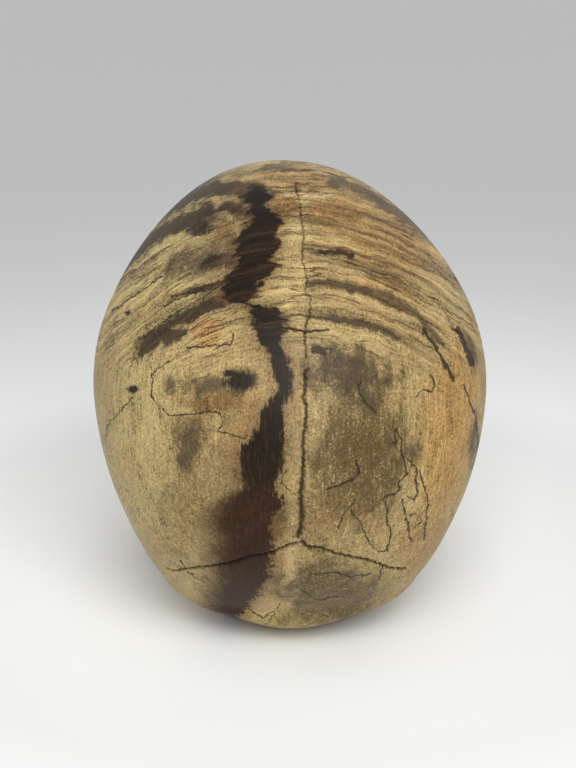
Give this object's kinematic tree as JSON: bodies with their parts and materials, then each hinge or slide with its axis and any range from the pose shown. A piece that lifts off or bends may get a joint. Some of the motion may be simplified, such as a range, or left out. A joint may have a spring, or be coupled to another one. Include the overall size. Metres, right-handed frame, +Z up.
{
  "type": "carved wooden skull",
  "caption": "Life-size human skull carved in spalted wood, leaning back on its occiput and jaw, with a lower jaw that opens on two pins.",
  "frame": {"origin": "middle of the skull's box, on the surface that it rests on", "axes": "+X to the skull's left, -Y the way the face looks, +Z up; the skull leans back by 32.6 degrees from its upright stance"},
  "size_m": [0.1462, 0.225, 0.1668],
  "materials": {
    "spalted_wood": "oiled and polished, pale tan with dark spalting",
    "dark_wood": "turned and oiled"
  },
  "bodies": {
    "skull": {"cranium": "spalted_wood", "left_jaw_pin": "dark_wood", "right_jaw_pin": "dark_wood"},
    "jaw": {"mandible": "spalted_wood"}
  },
  "joints": [
    {"name": "jaw_hinge", "type": "hinge", "parent": "skull", "child": "jaw", "pos_m": [0, -0.0096, 0.0541], "axis": [1, 0, 0], "range_deg": [0, 18]}
  ]
}
